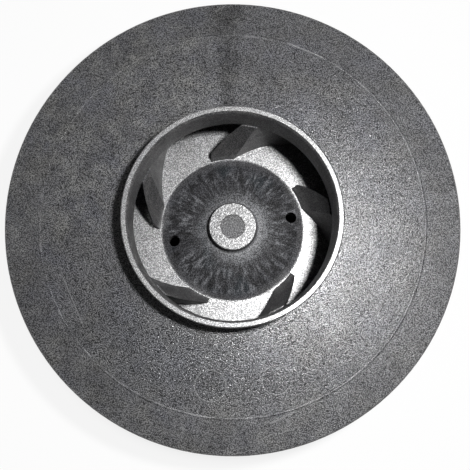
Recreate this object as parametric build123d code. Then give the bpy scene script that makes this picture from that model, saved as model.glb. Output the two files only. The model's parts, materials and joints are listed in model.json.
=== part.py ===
from build123d import *
import os
from math import atan, cos, degrees, log, radians, sin, sqrt, tan

# Closed radial impeller of a close-coupled water pump, in millimetres.
# The rotor axis is Z. The rear hub stands on z = 0 and the eye opens towards +Z.
# Two mouldings are welded together at the vane tops: the vaned back disc and the front shroud.
# A hexagonal brass bush, moulded into the rear hub, takes the threaded end of the motor shaft.

# Overall
outer_dia = 129.0
hub_length = 12.0
disc_wall = 3.2
outlet_width = 11.7

# Front shroud: a cone of even wall
shroud_wall = 3.0
shroud_slope = 12.0
rim_edge_chamfer = 0.4

# Inlet ring
ring_dia = 59.4
ring_height = 9.5
ring_face_width = 1.1
ring_edge_chamfer = 0.25
ring_foot_wall = 2.2
lead_in = 0.45
lead_in_depth = 0.9
throat_edge_chamfer = 0.4

# Marks that the mould leaves on the front shroud
witness_dia = 108.4
witness_height = 0.08
witness_top_width = 0.2
witness_flank = 0.25
dial_positions = ((45.6, 261.2, 8.6), (45.2, 284.3, 8.0))
dial_groove_width = 0.45
dial_groove_depth = 0.15
dial_slot_length_share = 0.5
dial_slot_turn = 45.0

# Vanes: log spirals, swept back, with a blunt nose cut to a cone from the floor to the throat.
# Angles are taken against the circle through the point; each vane thins and trails towards its top.
vane_count = 5
first_vane_angle = 106.2
nose_gap = 0.6
nose_arc = 18.0
nose_flank = 1.5
nose_radius = 0.8
inlet_angle = 30.0
outlet_angle = 26.0
root_thickness = 5.4
exit_thickness = 3.6
top_thickness_share = 0.4
top_lag = 5.1
vane_setback = 0.5
weld_ledge = 0.35
spiral_steps = 4

# Hub, seen through the eye
dome_dia = 41.8
dome_radius = 41.0
dome_root_radius = 1.6
boss_dia = 13.9
boss_height = 3.3
boss_edge_chamfer = 0.25
boss_root_chamfer = 0.6
gate_dia = 7.0
gate_depth = 0.35

# Balance holes through the dome
balance_hole_dia = 3.3
balance_circle_dia = 35.3
balance_angle = 10.2
balance_hole_count = 2

# Rear hub
hub_dia = 27.0
hub_lead_in = 0.8
hub_root_chamfer = 1.6

# Shaft bush
bush_across_flats = 17.0
bush_length = 16.0
bush_groove_width = 3.0
bush_groove_depth = 1.2
thread_major_dia = 12.0
thread_chamfer = 0.9

# Worked out from the values above
rim_r = outer_dia / 2
ring_r = ring_dia / 2
throat_r = ring_r - ring_foot_wall
dome_r = dome_dia / 2
nose_r = dome_r + nose_gap
boss_r = boss_dia / 2
gate_r = gate_dia / 2
hub_r = hub_dia / 2
rear_z = hub_length
floor_z = rear_z + disc_wall
root_z = floor_z - disc_wall / 2


def underside_z(r):
    """Height of the front shroud's wetted face at radius r."""
    return floor_z + outlet_width + (rim_r - r) * tan(radians(shroud_slope))


def front_z(r):
    """Height of the front shroud's outer face at radius r."""
    return underside_z(r) + shroud_wall


ring_top_z = front_z(ring_r) + ring_height
ring_bore_r = ring_r - ring_edge_chamfer - ring_face_width - lead_in
throat_z = underside_z(throat_r)

# The dome is a spherical cap that falls from the foot of the boss to the floor
dome_centre_z = floor_z - sqrt(dome_radius**2 - dome_r**2)


def dome_z(r):
    """Height of the hub dome at radius r."""
    return dome_centre_z + sqrt(dome_radius**2 - r**2)


boss_top_z = dome_z(boss_r) + boss_height


def arc_on(height, r_start, r_end):
    """Arc of an r-z section along a height curve, from r_start to r_end."""
    r_mid = (r_start + r_end) / 2
    return ThreePointArc((r_start, height(r_start)), (r_mid, height(r_mid)), (r_end, height(r_end)))


def corner(section, r, z):
    """The corner of an r-z section that lies nearest to (r, z)."""
    return section.vertices().sort_by_distance((r, z, 0))[0]


def turned(section):
    """Solid of revolution of an r-z section about the rotor axis."""
    return revolve(Plane.XZ * section, Axis.Z)


# Front shroud


def front_shroud():
    """Conical front wall with the inlet ring standing round its throat."""
    section = make_face(
        Polyline(
            (rim_r, underside_z(rim_r)),
            (throat_r, throat_z),
            (ring_bore_r, ring_top_z - lead_in_depth),
            (ring_bore_r + lead_in, ring_top_z),
            (ring_r - ring_edge_chamfer, ring_top_z),
            (ring_r, ring_top_z - ring_edge_chamfer),
            (ring_r, front_z(ring_r)),
            (rim_r, front_z(rim_r)),
            close=True,
        )
    )
    section = chamfer(corner(section, throat_r, throat_z), throat_edge_chamfer)
    section = chamfer(corner(section, rim_r, front_z(rim_r)), rim_edge_chamfer)
    shroud = turned(section) + witness_ridge()
    for radius, angle, diameter in dial_positions:
        shroud -= date_dial(radius, angle, diameter)
    return shroud


def witness_ridge():
    """Low round ridge on the shroud, left where two inserts of the mould meet."""
    r = witness_dia / 2
    crest = witness_top_width / 2
    foot = crest + witness_flank
    section = Polyline(
        (r - crest, front_z(r) + witness_height),
        (r + crest, front_z(r) + witness_height),
        (r + foot, front_z(r + foot)),
        (r + foot, front_z(r + foot) - shroud_wall / 2),
        (r - foot, front_z(r - foot) - shroud_wall / 2),
        (r - foot, front_z(r - foot)),
        close=True,
    )
    return turned(make_face(section))


def date_dial(radius, angle, diameter):
    """Cutter for the round groove and the slot that a mould dial leaves in the shroud."""
    seat = Rot(0, 0, angle) * Pos(radius, 0, front_z(radius)) * Rot(0, shroud_slope, 0)
    groove = Circle(diameter / 2) - Circle(diameter / 2 - dial_groove_width)
    slot = Rot(0, 0, dial_slot_turn) * Rectangle(diameter * dial_slot_length_share, dial_groove_width)
    cutter_height = diameter / 4
    return seat * Pos(0, 0, -dial_groove_depth) * extrude(groove + slot, cutter_height)


# Vaned disc


def way_out(r):
    """Share of a vane's length, in log radius, that lies inside radius r."""
    return log(r / nose_r) / log(rim_r / nose_r)


def blade_cot(r):
    """Cotangent of the blade angle at radius r."""
    inlet = 1 / tan(radians(inlet_angle))
    outlet = 1 / tan(radians(outlet_angle))
    return inlet + (outlet - inlet) * way_out(r)


def sweep(r):
    """Angle by which the pressure side trails the nose at radius r, in degrees."""
    mean_cot = (blade_cot(nose_r) + blade_cot(r)) / 2
    return degrees(mean_cot * log(r / nose_r))


def root_width(r):
    """Angle that a vane's root covers on the circle of radius r, in degrees."""
    thickness = root_thickness + (exit_thickness - root_thickness) * way_out(r)
    return degrees(thickness / (r * sin(atan(1 / blade_cot(r)))))


def polar(r, angle, z):
    """Point at radius r and the given angle, at height z."""
    return Vector(r * cos(radians(angle)), r * sin(radians(angle)), z)


def vane_section(z):
    """Section of the first vane in the plane at height z."""
    rise = (z - floor_z) / (throat_z - floor_z)
    width_share = 1 + (top_thickness_share - 1) * rise
    flank_r = nose_r + nose_flank
    core_r = nose_r - nose_flank
    flank_angle = first_vane_angle - top_lag * rise
    nose_end_angle = flank_angle - nose_arc * width_share
    radii = [flank_r * (rim_r / flank_r) ** (step / spiral_steps) for step in range(spiral_steps + 1)]
    pressure_angles = [flank_angle - sweep(r) + sweep(flank_r) for r in radii]
    pressure = [polar(r, angle, z) for r, angle in zip(radii, pressure_angles)]
    suction = [polar(r, a - width_share * root_width(r), z) for r, a in zip(radii, pressure_angles)]
    suction[0] = polar(nose_r, nose_end_angle, z)
    core = polar(core_r, nose_end_angle, z), polar(core_r, flank_angle, z)
    section = make_face(
        [
            Spline(*pressure),
            Line(pressure[-1], suction[-1]),
            Spline(*reversed(suction)),
            Line(suction[0], core[0]),
            Line(core[0], core[1]),
            Line(core[1], pressure[0]),
        ]
    )
    return fillet(section.vertices().sort_by_distance(pressure[0])[0], nose_radius)


def passage():
    """Room for the vanes: floor to shroud, from the cone of the leading edges out to the rim."""
    lip_r = throat_r - weld_ledge
    exit_r = rim_r - vane_setback
    section = Polyline(
        (exit_r, underside_z(exit_r)),
        (exit_r, root_z),
        (nose_r, root_z),
        (nose_r, floor_z),
        (lip_r, underside_z(lip_r)),
        close=True,
    )
    return turned(make_face(section))


def vane():
    """The first vane, lofted past the shroud and trimmed back to the passage."""
    blank = loft([vane_section(root_z), vane_section(underside_z(nose_r))], ruled=True)
    return blank & passage()


def back_wall():
    """Flat disc with the domed hub and its boss in front and the shaft hub behind."""
    section = make_face(
        [
            Polyline(
                (0, 0),
                (0, boss_top_z - gate_depth),
                (gate_r, boss_top_z - gate_depth),
                (gate_r, boss_top_z),
                (boss_r, boss_top_z),
                (boss_r, dome_z(boss_r)),
            ),
            arc_on(dome_z, boss_r, dome_r),
            Polyline(
                (dome_r, floor_z),
                (rim_r, floor_z),
                (rim_r, rear_z),
                (hub_r, rear_z),
                (hub_r, hub_lead_in),
                (hub_r - hub_lead_in, 0),
                (0, 0),
            ),
        ]
    )
    section = chamfer(corner(section, boss_r, boss_top_z), boss_edge_chamfer)
    section = chamfer(corner(section, boss_r, dome_z(boss_r)), boss_root_chamfer)
    section = fillet(corner(section, dome_r, floor_z), dome_root_radius)
    section = chamfer(corner(section, rim_r, rear_z), rim_edge_chamfer)
    section = chamfer(corner(section, hub_r, rear_z), hub_root_chamfer)
    return turned(section)


def vane_disc():
    """Back moulding: wall, hub and vanes in one piece, round the pocket of the bush."""
    disc = back_wall()
    vane_turns = PolarLocations(0, vane_count)
    disc += vane_turns * vane()
    hole = Cylinder(balance_hole_dia / 2, boss_top_z, align=(Align.CENTER, Align.CENTER, Align.MIN))
    disc -= PolarLocations(balance_circle_dia / 2, balance_hole_count, start_angle=balance_angle) * hole
    return disc - bush_body()


# Shaft bush


def bush_body():
    """Hexagonal bush with a waist that keys it into the hub, without its bore."""
    hexagon = RegularPolygon(bush_across_flats / 2, 6, major_radius=False)
    ring = Circle(bush_across_flats) - Circle(bush_across_flats / 2 - bush_groove_depth)
    waist = Pos(0, 0, (bush_length - bush_groove_width) / 2) * extrude(ring, bush_groove_width)
    return extrude(hexagon, bush_length) - waist


def shaft_insert():
    """Bush with the bore for the shaft's thread, open towards the motor."""
    bore_r = thread_major_dia / 2
    bore = extrude(Circle(bore_r), bush_length)
    on_end = (Align.CENTER, Align.CENTER, Align.MIN)
    mouth = Cone(bore_r + thread_chamfer, bore_r, thread_chamfer, align=on_end)
    return bush_body() - bore - mouth


os.makedirs("parts", exist_ok=True)
export_step(front_shroud(), "parts/front_shroud.step")
export_step(vane_disc(), "parts/vane_disc.step")
export_step(shaft_insert(), "parts/shaft_insert.step")
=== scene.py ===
import json
from math import cos, pi, radians, sin
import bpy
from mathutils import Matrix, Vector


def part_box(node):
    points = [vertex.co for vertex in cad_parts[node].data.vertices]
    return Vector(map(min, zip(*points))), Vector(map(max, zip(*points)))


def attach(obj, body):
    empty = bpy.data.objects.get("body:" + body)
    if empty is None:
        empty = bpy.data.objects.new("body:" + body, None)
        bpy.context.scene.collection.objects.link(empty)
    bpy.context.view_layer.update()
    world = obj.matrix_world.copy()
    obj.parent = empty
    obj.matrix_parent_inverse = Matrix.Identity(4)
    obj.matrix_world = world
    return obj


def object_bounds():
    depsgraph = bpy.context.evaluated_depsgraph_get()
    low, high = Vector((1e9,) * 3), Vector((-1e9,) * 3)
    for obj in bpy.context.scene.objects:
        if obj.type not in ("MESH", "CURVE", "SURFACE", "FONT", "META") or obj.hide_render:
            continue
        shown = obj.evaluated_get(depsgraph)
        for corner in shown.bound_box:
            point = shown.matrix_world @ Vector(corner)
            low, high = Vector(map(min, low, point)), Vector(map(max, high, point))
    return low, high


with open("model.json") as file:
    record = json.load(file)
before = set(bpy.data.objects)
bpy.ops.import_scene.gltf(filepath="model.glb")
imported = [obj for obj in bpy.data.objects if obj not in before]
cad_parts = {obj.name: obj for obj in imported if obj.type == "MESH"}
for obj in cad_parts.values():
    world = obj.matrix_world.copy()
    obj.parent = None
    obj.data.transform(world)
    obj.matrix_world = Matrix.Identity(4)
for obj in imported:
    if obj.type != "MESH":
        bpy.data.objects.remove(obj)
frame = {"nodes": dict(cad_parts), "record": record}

from types import SimpleNamespace

import bpy
from mathutils import Vector

# Closed pump impeller: a vaned disc and a front shroud moulded in dark glass-filled PPO and
# welded together, with a brass bush in the rear hub. Blender works in metres; the sizes
# below are in millimetres and pass through MM. Named turns about the rotor axis are in degrees.
MM = 0.001
cad_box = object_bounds()
scene = bpy.context.scene

# From the frame: the rim, the heights of the shroud and the bush, and the radii of the mounts
OUTER_R = cad_box[1][0] / MM
shroud_low, shroud_high = (corner[2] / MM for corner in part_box("front_shroud"))
bush_low, bush_high = (corner[2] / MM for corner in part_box("shaft_insert"))
mount_radius = {m["name"]: m["dims"].get("r_mm") for m in frame["record"]["mounts"]}


# Helpers


def linear(hex_colour):
    """sRGB hex colour as linear RGBA."""
    parts = [int(hex_colour[i : i + 2], 16) / 255 for i in (1, 3, 5)]
    return [p / 12.92 if p <= 0.04045 else ((p + 0.055) / 1.055) ** 2.4 for p in parts] + [1.0]


def add(tree, kind, output, links=None, **settings):
    """Adds a shader node with its settings and its links or plain values; gives the chosen output."""
    node = tree.nodes.new("ShaderNode" + kind)
    for name, value in settings.items():
        setattr(node, name, value)
    for name, value in (links or {}).items():
        if isinstance(value, Field):
            tree.links.new(value.socket, node.inputs[name])
        else:
            node.inputs[name].default_value = value
    return None if output is None else Field(tree, node.outputs[output])


class Field:
    """What a node gives at each place of a surface. Numbers are joined by + - * and by join."""

    def __init__(self, tree, socket):
        self.tree = tree
        self.socket = socket

    def join(self, operation, other=0.0):
        """This number and another, joined by one of the operations of maths."""
        return add(self.tree, "Math", "Value", {0: self, 1: other}, operation=operation)

    def __add__(self, other):
        return self.join("ADD", other)

    def __sub__(self, other):
        return self.join("SUBTRACT", other)

    def __rsub__(self, other):
        return add(self.tree, "Math", "Value", {0: other, 1: self}, operation="SUBTRACT")

    def __mul__(self, other):
        return self.join("MULTIPLY", other)

    def eased(self, low, high, to_low=0.0, to_high=1.0):
        """The range from low to high, mapped smoothly to another range and held at its ends."""
        links = {"Value": self, 1: low, 2: high, 3: to_low, 4: to_high}
        return add(self.tree, "MapRange", "Result", links, interpolation_type="SMOOTHSTEP")

    def blend(self, first, second):
        """The first colour where this is 0, the second where it is 1; each a hex text or a field."""
        first, second = (linear(c) if isinstance(c, str) else c for c in (first, second))
        return add(self.tree, "Mix", 2, {0: self, 6: first, 7: second}, data_type="RGBA")

    def patches(self, size_mm, detail=2.0, roughness=0.5):
        """Random patches, from 0 to 1 and about size_mm across, over places in mm."""
        links = {"Vector": self, "Scale": 1 / size_mm, "Detail": detail, "Roughness": roughness}
        return add(self.tree, "TexNoise", "Fac", links)


def largest(first, *others):
    """The largest of several fields at each place."""
    for other in others:
        first = first.join("MAXIMUM", other)
    return first


def band(value, middle, half_width, soft):
    """1 within half_width of the middle, falling to 0 over the soft width outside it."""
    away = (value - middle).join("ABSOLUTE")
    return away.eased(half_width, half_width + soft, 1.0, 0.0)


def sector(turn, degrees, half_width, soft):
    """1 in a sector about the axis, falling to 0 over the soft angle at each side."""
    lean = (turn - radians(degrees)).join("COSINE")
    return lean.eased(cos(radians(half_width + soft)), cos(radians(half_width)))


def drawn_out(across, along):
    """Places in a plane of two values, each of which stretches or squeezes its patches one way."""
    return add(across.tree, "CombineXYZ", "Vector", {"X": across, "Y": along})


def places_mm(tree):
    """Places on the object in mm, also flat on the disc, and their turn about the axis in radians."""
    place = add(tree, "TexCoord", "Object")
    mm = add(tree, "VectorMath", "Vector", {0: place, "Scale": 1 / MM}, operation="SCALE")
    flat = add(tree, "VectorMath", "Vector", {0: mm, 1: (1, 1, 0)}, operation="MULTIPLY")
    radius = add(tree, "VectorMath", "Value", {0: flat}, operation="LENGTH")
    x, y, height = (add(tree, "SeparateXYZ", axis, {"Vector": mm}) for axis in "XYZ")
    turn = y.join("ARCTAN2", x)
    return SimpleNamespace(tree=tree, mm=mm, flat=flat, radius=radius, turn=turn, height=height)


def new_material(name):
    """An empty node material and its tree."""
    material = bpy.data.materials.new(name)
    material.use_nodes = True
    tree = material.node_tree
    tree.nodes.clear()
    return material, tree


def wear(piece, material):
    """Gives the piece one material slot with this material."""
    slots = piece.data.materials
    slots.clear()
    slots.append(material)


def new_object(name, data):
    """An object in the scene that holds a mesh, a lamp or a camera."""
    made = bpy.data.objects.new(name, data)
    scene.collection.objects.link(made)
    return made


# Moulded glass-filled PPO: near-black, with the satin skin of a spark-eroded mould.
# The real grain is about 0.1 mm; it is drawn at 0.28 mm, as coarse as it needs to show.
# Its IOR starts from the resin's 1.6 and is matched at 1.75 to the strong gloss of this skin.
GRAIN = 0.28
GRAIN_DEPTH = 0.1
PLASTIC_IOR = 1.75
COAT_ROUGHNESS = 0.31

# Radii and heights of what the mouldings carry
RING_R = mount_radius["eye_ring"]
# Radius of a painted shade line along the outer edge of the ring's lip
LIP_SHADE_R = RING_R - 0.15
WITNESS_R = 54.2
DOME_R = 20.9
THICK_CHALK_R = 7.8
THIN_CHALK_R = 12.4
BOSS_R = 6.95
GATE_R = 3.5
RING_TOP = shroud_high - 0.8
SHROUD_FRONT = shroud_low + 2.5
PASSAGE_TOP = shroud_low - 0.5

# Middles of the marks that lie on one side
WELD_TURN = 90.5
# Middle of the painted shade line on the lip
LIP_SHADE_TURN = 340.0
# Middle of the painted highlight on the chalk round the boss
CHALK_HIGHLIGHT_TURN = 340.0
SCUFF_TURN = 140.0
RIM_SCUFF_TURN = 250.0

# Dials of the mould: radius and turn of the centre, and diameter
DIALS = ((45.6, 261.2, 8.6), (45.2, 284.3, 8.0))

# Scratches: start, end and width
SCRATCHES = (
    ((-13.4, -52.5), (-7.2, -53.7), 0.35),
    ((8.6, -56.0), (16.4, -52.3), 0.5),
    ((-47.6, -14.0), (-41.5, -28.5), 0.3),
    ((17.7, 51.2), (27.6, 46.8), 0.35),
)
SCRATCH_FADE = 1.0

# Colours; of a pair, the second is the paler
SKIN = ("#323234", "#474749")
SKIN_BLUE = "#434655"
SKIN_BROWN = "#4f4c40"
SCUFFED = "#646462"
DOME = ("#1b1b1c", "#343437")
DOME_BLUE = "#2c363c"
WALL = ("#343435", "#4f4e4e")
CHALK = "#737477"
RUBBED = "#8c8c8d"
# The dark line colour draws the weld line and the painted shade lines.
DARK_LINE = "#0d0d0e"


def skin_zones(at):
    """Where each kind of skin lies on the mouldings, from 0 to 1."""
    normal = add(at.tree, "NewGeometry", "True Normal")
    facing = add(at.tree, "SeparateXYZ", "Z", {"Vector": normal})
    upward = facing.eased(0.0, 0.2)
    zone = SimpleNamespace(upward=upward)

    # Front of the shroud with its ring, its outer part, and the ridge between two mould inserts
    zone.front = upward * at.height.eased(SHROUD_FRONT - 1.0, SHROUD_FRONT)
    zone.outer = at.radius.eased(WITNESS_R - 8.0, WITNESS_R + 4.0)
    zone.ridge = band(at.radius, WITNESS_R, 0.35, 0.25) * zone.front

    # Hub in the eye: the dome, the boss on it, the gate in the boss, and the dome round the boss
    zone.dome = upward * at.radius.eased(DOME_R - 2.4, DOME_R + 0.3, 1.0, 0.0)
    zone.boss = upward * at.radius.eased(BOSS_R - 0.05, BOSS_R + 0.15, 1.0, 0.0)
    zone.gate = upward * at.radius.eased(GATE_R - 0.1, GATE_R + 0.1, 1.0, 0.0)
    zone.skirt = zone.dome - zone.boss

    # Inside the ring and the passages, and the lip on top of the ring
    within_ring = at.radius.eased(RING_R - 0.2, RING_R + 0.2, 1.0, 0.0)
    zone.inside = largest(within_ring, at.height.eased(PASSAGE_TOP - 1.0, PASSAGE_TOP, 1.0, 0.0))
    zone.lip = zone.inside * at.height.eased(RING_TOP - 0.2, RING_TOP)

    # Walls that were drawn out of the mould along the axis
    zone.steep = facing.join("ABSOLUTE").eased(0.6, 0.85, 1.0, 0.0)
    return zone


def skin_grain(at, zone):
    """Grain of the moulded skin, fainter where the skin is smooth, and the clouds of its flow.

    Crests catch the lamp and are paler; the pits between them are dark.
    """
    smooth = largest(zone.outer * 0.35, zone.inside * 0.6, zone.dome * 0.5, zone.boss * 0.65)
    speck = at.mm.patches(GRAIN, 0.0)
    darker = speck.eased(0.3, 0.7, 0.85, -1.9) * smooth.eased(0.0, 1.0, 1.0, 0.3)
    relief = at.mm.patches(GRAIN, 1.0, 0.6) * smooth.eased(0.0, 1.0, 1.0, 0.25)
    bump = {"Height": relief, "Strength": 1.0, "Distance": GRAIN_DEPTH * MM}
    return SimpleNamespace(
        speck=speck,
        crests=largest(speck.eased(0.35, 0.8, 0.27, 1.75), smooth * 0.8),
        lightness=1.0 - darker,
        bump=add(at.tree, "Bump", "Normal", bump),
        cloud=at.mm.patches(8.0, 4.0, 0.6),
    )


def scratch(flat, start, end, width):
    """1 along a straight scratch between two places, seen along the axis."""
    way = Vector(end) - Vector(start)
    along = way.normalized()
    side = Vector((-along.y, along.x))
    offset = add(flat.tree, "VectorMath", "Vector", {0: flat, 1: (*start, 0)}, operation="SUBTRACT")
    forward = add(flat.tree, "VectorMath", "Value", {0: offset, 1: (*along, 0)}, operation="DOT_PRODUCT")
    aside = add(flat.tree, "VectorMath", "Value", {0: offset, 1: (*side, 0)}, operation="DOT_PRODUCT")
    half_length = way.length / 2
    length = band(forward, half_length, half_length - SCRATCH_FADE, SCRATCH_FADE)
    return length * band(aside, 0.0, width / 4, width / 2)


def handling_marks(at, zone):
    """Pale marks of wear on the ridge and the dials, scratches, and painted shade on the ridge and in the
    dials' grooves.
    """
    rubbed = at.mm.patches(5.0).eased(0.5, 0.62)
    marks = zone.ridge * rubbed * 0.22
    # Painted shade on the ridge where it is not rubbed.
    ridge_and_groove_shade = zone.ridge * (1.0 - rubbed) * 0.4
    for centre_r, degrees, diameter in DIALS:
        centre = (centre_r * cos(radians(degrees)), centre_r * sin(radians(degrees)), 0)
        offset = add(at.tree, "VectorMath", "Vector", {0: at.flat, 1: centre}, operation="SUBTRACT")
        away = add(at.tree, "VectorMath", "Value", {0: offset}, operation="LENGTH")
        rim = band(away, diameter / 2, 0.1, 0.22) * rubbed.eased(0.0, 1.0, 0.42, 0.7)
        middle = band(away, 0.0, 0.3, 1.6) * rubbed * 0.35
        marks = largest(marks, rim, middle)
        # Painted shade inside the groove round each dial.
        ridge_and_groove_shade = largest(ridge_and_groove_shade, band(away, diameter / 2 - 0.35, 0.1, 0.15))
    for start, end, width in SCRATCHES:
        marks = largest(marks, scratch(at.flat, start, end, width) * 0.5)
    return marks * zone.front, ridge_and_groove_shade * zone.front * 0.2


def dark_lines(at, zone, ridge_and_groove_shade):
    """Weld line above the eye, and painted shade: a line at the lip's outer edge, lines round the gate's
    recess and the boss's foot, and shade on the ridge and in the dials' grooves.
    """
    weld = sector(at.turn, WELD_TURN, 0.3, 5.0) * (1.0 - zone.inside) * zone.front
    weld = weld * at.mm.patches(3.5, 3.0).eased(0.35, 0.6, 0.15, 0.5)
    # Painted shade: a dark line along the outer edge of the ring's lip, on one side.
    lip_edge_shade = band(at.radius, LIP_SHADE_R, 0.12, 0.08) * zone.lip
    lip_edge_shade = lip_edge_shade * sector(at.turn, LIP_SHADE_TURN, 60.0, 30.0)
    # Painted shade: dark lines round the edge of the gate's recess and at the foot of the boss.
    recess_and_foot_shade = largest(band(at.radius, GATE_R, 0.15, 0.2), band(at.radius, BOSS_R + 0.1, 0.04, 0.08))
    return largest(lip_edge_shade, weld, recess_and_foot_shade * zone.upward * 0.75, ridge_and_groove_shade)


def scuffs(at, zone):
    """Patches of the shroud's front that handling has greyed, on one side and along the rim."""
    rim = zone.outer * sector(at.turn, RIM_SCUFF_TURN, 35.0, 30.0) * 0.7
    where = largest(sector(at.turn, SCUFF_TURN, 25.0, 45.0), rim) * zone.front * (1.0 - zone.inside)
    return where * at.mm.patches(4.5, 5.0, 0.65).eased(0.42, 0.66, 0.0, 0.42)


def dome_chalk(at):
    """Chalk that the water leaves on the dome: mottled round the boss and made paler on one side by a
    painted highlight, thin radial wisps further out.
    """
    spread = at.radius + (at.mm.patches(4.0, 3.0) - 0.5) * 3.0
    streaks = drawn_out(at.turn * 10.0, spread * 0.2).patches(0.8, 5.0, 0.65)
    arcs = drawn_out(at.turn * 3.0, at.radius * 2.2).patches(1.0, 4.0, 0.7)
    teeth = drawn_out(at.turn * 26.0, at.radius * 0.5).patches(0.8)
    near_boss = spread.eased(THICK_CHALK_R, THIN_CHALK_R, 1.0, 0.0)
    # Painted highlight: the chalk round the boss is paler on the side where the dome reflects the lamp.
    lit_side_highlight = sector(at.turn, CHALK_HIGHLIGHT_TURN, 40.0, 70.0) * 0.75 + 0.5
    inner = arcs.eased(0.35, 0.65, 0.1, 0.8) + teeth.eased(0.35, 0.65, 0.0, 0.5)
    inner = inner * near_boss * lit_side_highlight
    wisps = streaks.eased(0.47, 0.68, 0.0, 0.9) * at.mm.patches(5.0, 3.0).eased(0.4, 0.6, 0.1, 1.0)
    return inner + wisps * (1.0 - near_boss), streaks


def wall_mottle(at):
    """Pale mottling of the drawn walls, streaked along the draw."""
    streaks = drawn_out(at.turn * at.radius, at.height * 0.05).patches(0.5, 3.0, 0.6)
    return at.mm.patches(2.8, 3.0, 0.6).eased(0.3, 0.7) * streaks.eased(0.3, 0.6, 0.3, 1.0)


def plastic_colour(at, zone, grain, marks, dark):
    """Clouded skin of the shroud, darker dome and drawn walls, with the grain, the marks and the painted
    shade lines on them.
    """
    tint = at.mm.patches(11.0, 2.0, 0.6)
    chalk, streaks = dome_chalk(at)
    skin = grain.cloud.blend(*SKIN)
    skin = tint.eased(0.5, 0.7, 0.0, 0.12).blend(skin, SKIN_BLUE)
    skin = tint.eased(0.5, 0.3, 0.0, 0.12).blend(skin, SKIN_BROWN)
    skin = scuffs(at, zone).blend(skin, SCUFFED)
    dome = streaks.eased(0.35, 0.65).blend(*DOME)
    dome = tint.eased(0.52, 0.68, 0.0, 0.22).blend(dome, DOME_BLUE)
    skin = zone.skirt.blend(skin, dome)
    skin = zone.steep.blend(skin, wall_mottle(at).blend(*WALL))
    skin = add(at.tree, "HueSaturation", "Color", {"Color": skin, "Value": grain.lightness})
    chalk = chalk * zone.skirt * grain.speck.eased(0.3, 0.65, 0.2, 1.35)
    skin = chalk.blend(skin, CHALK)
    skin = marks.blend(skin, RUBBED)
    # Weld line and painted shade lines
    return dark.blend(skin, DARK_LINE)


def moulded_plastic():
    """Grained skin under a thin gloss of resin, which is lost on the drawn walls, the dome, the weld line
    and the painted shade lines.
    """
    material, tree = new_material("moulded_glass_filled_ppo")
    at = places_mm(tree)
    zone = skin_zones(at)
    grain = skin_grain(at, zone)
    marks, ridge_and_groove_shade = handling_marks(at, zone)
    dark = dark_lines(at, zone, ridge_and_groove_shade)

    rough = grain.cloud.eased(0.3, 0.7, 0.3, 0.35) + zone.outer * 0.06 + zone.skirt * 0.2
    rough = rough + zone.gate * 0.2 + zone.steep * 0.15 + zone.lip * 0.12 + zone.inside * 0.05
    dull_dome = zone.skirt * at.radius.eased(BOSS_R + 0.55, BOSS_R + 3.55, 0.5, 0.78)
    dull = largest(
        dull_dome, zone.boss * 0.5, zone.gate * 0.55, zone.steep * 0.55, zone.ridge * 0.8,
        zone.inside * (1.0 - zone.lip) * 0.2, dark * 0.8,
    )
    bare = largest(zone.skirt, zone.steep, zone.gate, dull)

    # The flow of the melt leaves faint spokes in the gloss
    spokes = drawn_out(at.turn * 16.0, at.radius * 0.06).patches(1.0, 3.0, 0.6)
    links = {
        "Base Color": plastic_colour(at, zone, grain, marks, dark),
        "Roughness": rough,
        "IOR": PLASTIC_IOR,
        "Specular IOR Level": (1.0 - dull) * grain.crests * spokes.eased(0.3, 0.7, 0.8, 1.15),
        "Coat Weight": ((1.0 - bare) * grain.crests).join("MINIMUM", 1.0),
        "Coat Roughness": COAT_ROUGHNESS,
        "Coat IOR": PLASTIC_IOR,
        "Normal": grain.bump,
        "Coat Normal": grain.bump,
    }
    add(tree, "OutputMaterial", None, {"Surface": add(tree, "BsdfPrincipled", "BSDF", links)})
    return material


# Turned brass: a warm yellow metal with fine rings from the tool and a thin, uneven patina.
# The rings of a real cut are about 0.1 mm apart; they are drawn at 0.25 mm.
TOOL_RINGS = 0.25
TOOL_DEPTH = 0.02
BRASS = ("#c9a560", "#a98548")


def turned_brass():
    """Ringed metal whose gloss breaks up where the patina lies."""
    material, tree = new_material("turned_brass")
    at = places_mm(tree)
    rings = drawn_out(at.radius, at.height).patches(TOOL_RINGS)
    patina = at.mm.patches(4.0, 4.0, 0.6)
    bump = {"Height": rings, "Strength": 0.4, "Distance": TOOL_DEPTH * MM}
    links = {
        "Base Color": patina.blend(*BRASS),
        "Metallic": 1.0,
        "Roughness": patina.eased(0.3, 0.7, 0.24, 0.42),
        "Normal": add(tree, "Bump", "Normal", bump),
    }
    add(tree, "OutputMaterial", None, {"Surface": add(tree, "BsdfPrincipled", "BSDF", links)})
    return material


# Thread in the bush: an M12 coarse helix that stands in from the bore, with its root sunk into
# the wall. Foot and tip are half the ridge's width at its root and at its crest.
THREAD_MAJOR_R = mount_radius["shaft_thread"]
THREAD_PITCH = 1.75
THREAD_DEPTH = 0.95
THREAD_FOOT = 0.44 * THREAD_PITCH
THREAD_TIP = 0.12 * THREAD_PITCH
THREAD_END_GAP = 1.2
THREAD_ROOT_SINK = 0.03
STEPS_A_TURN = 48


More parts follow.
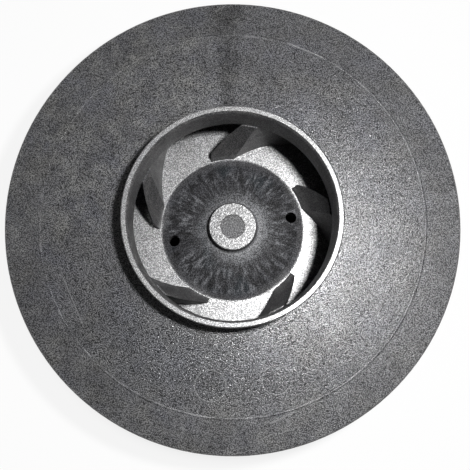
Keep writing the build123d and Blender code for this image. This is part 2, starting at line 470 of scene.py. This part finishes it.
def bore_thread(name, z_low, z_high):
    """Closed helical ridge round the bore between two heights."""
    root = THREAD_MAJOR_R + THREAD_ROOT_SINK
    crest = THREAD_MAJOR_R - THREAD_DEPTH
    section = ((root, -THREAD_FOOT), (root, THREAD_FOOT), (crest, THREAD_TIP), (crest, -THREAD_TIP))
    corners = len(section)
    rise = z_high - z_low - 2 * THREAD_FOOT
    steps = round(rise / THREAD_PITCH * STEPS_A_TURN)
    points = []
    for step in range(steps + 1):
        angle = 2 * pi * step / STEPS_A_TURN
        height = z_low + THREAD_FOOT + THREAD_PITCH * step / STEPS_A_TURN
        points += [(r * cos(angle) * MM, r * sin(angle) * MM, (height + z) * MM) for r, z in section]
    faces = [tuple(range(corners)), tuple(corners * steps + k for k in reversed(range(corners)))]
    for step in range(steps):
        for k in range(corners):
            near = corners * step + k
            after = corners * step + (k + 1) % corners
            faces.append((near, near + corners, after + corners, after))
    mesh = bpy.data.meshes.new(name)
    mesh.from_pydata(points, [], faces)
    return new_object(name, mesh)


plastic = moulded_plastic()
brass = turned_brass()
for name, piece in frame["nodes"].items():
    wear(piece, brass if name == "shaft_insert" else plastic)

thread = bore_thread("bush_thread", bush_low + THREAD_END_GAP, bush_high - THREAD_END_GAP)
wear(thread, brass)
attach(thread, "root")


# Floor, light and camera

# Under the disc the floor is painted dark as a shadow, so that little light comes up through the balance
# holes.
# Beside the rim it turns from matt to nearly white, which leaves a faint shadow, and far out
# to full white.
FLOOR_SIZE = 6000
FLOOR_PAINTED_SHADOW = "#1c1c1c"
FLOOR_PALE = "#e8e8e8"
PAINTED_SHADOW_R = OUTER_R - 36.5
PALE_R = OUTER_R - 8.5
MATT_R = OUTER_R - 14.5
WHITE_R = OUTER_R + 7.5
NEARLY_WHITE = 0.9
SHADOW_R = OUTER_R + 25.5
SHADOW_END_R = 500.0

LAMP_PLACE = (60, 3, 285)
LAMP_AIM = (0, 0, 27)
LAMP_SIZE = 26
LAMP_WATTS = 0.97

SURROUND_LIGHT = 0.26
CEILING_LIGHT = 0.02

CAMERA_PLACE = (0, -33.0, 285.5)
CAMERA_AIM = (0.6, -3.0, 27.6)
CAMERA_LENS = 69.8
CAMERA_SENSOR = 36.0


def plane(name, size, height):
    """Square plane about the rotor axis, in metres."""
    half = size / 2
    mesh = bpy.data.meshes.new(name)
    corners = [(-half, -half, height), (half, -half, height), (half, half, height), (-half, half, height)]
    mesh.from_pydata(corners, [], [(0, 1, 2, 3)])
    return new_object(name, mesh)


def kinds_of_ray(tree):
    """Three fields: 1 for the camera's own rays, for reflected ones and for transmitted ones."""
    return [add(tree, "LightPath", f"Is {kind} Ray") for kind in ("Camera", "Glossy", "Transmission")]


def studio_white():
    """Matt floor that the eye and every reflection see as white, with the object's shadow and a painted
    shadow under the disc.
    """
    material, tree = new_material("studio_white_floor")
    radius = places_mm(tree).radius
    near = radius.eased(MATT_R, WHITE_R, 0.0, NEARLY_WHITE)
    far = radius.eased(SHADOW_R, SHADOW_END_R, NEARLY_WHITE, 1.0)
    share = largest(*kinds_of_ray(tree)) * (largest(near, far) * radius.eased(MATT_R, WHITE_R))
    # Painted shadow under the disc, pale further out
    colour = radius.eased(PAINTED_SHADOW_R, PALE_R).blend(FLOOR_PAINTED_SHADOW, FLOOR_PALE)
    matt = add(tree, "BsdfDiffuse", "BSDF", {"Color": colour})
    white = add(tree, "Emission", "Emission", {"Color": (1, 1, 1, 1), "Strength": 1.0})
    surface = add(tree, "MixShader", "Shader", {0: share, 1: matt, 2: white})
    add(tree, "OutputMaterial", None, {"Surface": surface})
    return material


def stand(made, place, aim):
    """Puts a lamp or a camera at a place, turned to its aim."""
    made.location = Vector(place) * MM
    made.rotation_euler = (Vector(aim) - Vector(place)).to_track_quat("-Z", "Y").to_euler()


def key_lamp():
    """Round lamp to the right above the disc."""
    data = bpy.data.lights.new("key", "AREA")
    data.shape = "DISK"
    data.size = LAMP_SIZE * MM
    data.energy = LAMP_WATTS
    stand(new_object("key", data), LAMP_PLACE, LAMP_AIM)


def studio_world():
    """Dim ceiling over a pale surround that the eye and every low reflection see as white.

    Rise is 0 at the horizon and 1 straight up.
    """
    world = bpy.data.worlds.new("studio")
    world.use_nodes = True
    tree = world.node_tree
    tree.nodes.clear()
    direction = add(tree, "TexCoord", "Generated")
    rise = add(tree, "SeparateXYZ", "Z", {"Vector": direction})
    light = rise.eased(0.25, 0.6, SURROUND_LIGHT, CEILING_LIGHT)
    camera_ray, glossy_ray, transmission_ray = kinds_of_ray(tree)
    seen = largest(camera_ray, largest(glossy_ray, transmission_ray) * rise.eased(0.1, 0.3, 1.0, 0.0))
    strength = add(tree, "Mix", 0, {0: seen, 2: light, 3: 1.0})
    sky = add(tree, "Background", "Background", {"Color": (1, 1, 1, 1), "Strength": strength})
    add(tree, "OutputWorld", None, {"Surface": sky})
    return world


def main_camera():
    """Camera over the disc, a little to the front."""
    data = bpy.data.cameras.new("camera")
    data.sensor_width = CAMERA_SENSOR
    data.lens = CAMERA_LENS
    data.clip_start = 0.01
    camera = new_object("camera", data)
    stand(camera, CAMERA_PLACE, CAMERA_AIM)
    return camera


floor = plane("floor", FLOOR_SIZE * MM, cad_box[0][2])
wear(floor, studio_white())
key_lamp()
scene.world = studio_world()
scene.camera = main_camera()
scene.view_settings.view_transform = "Standard"
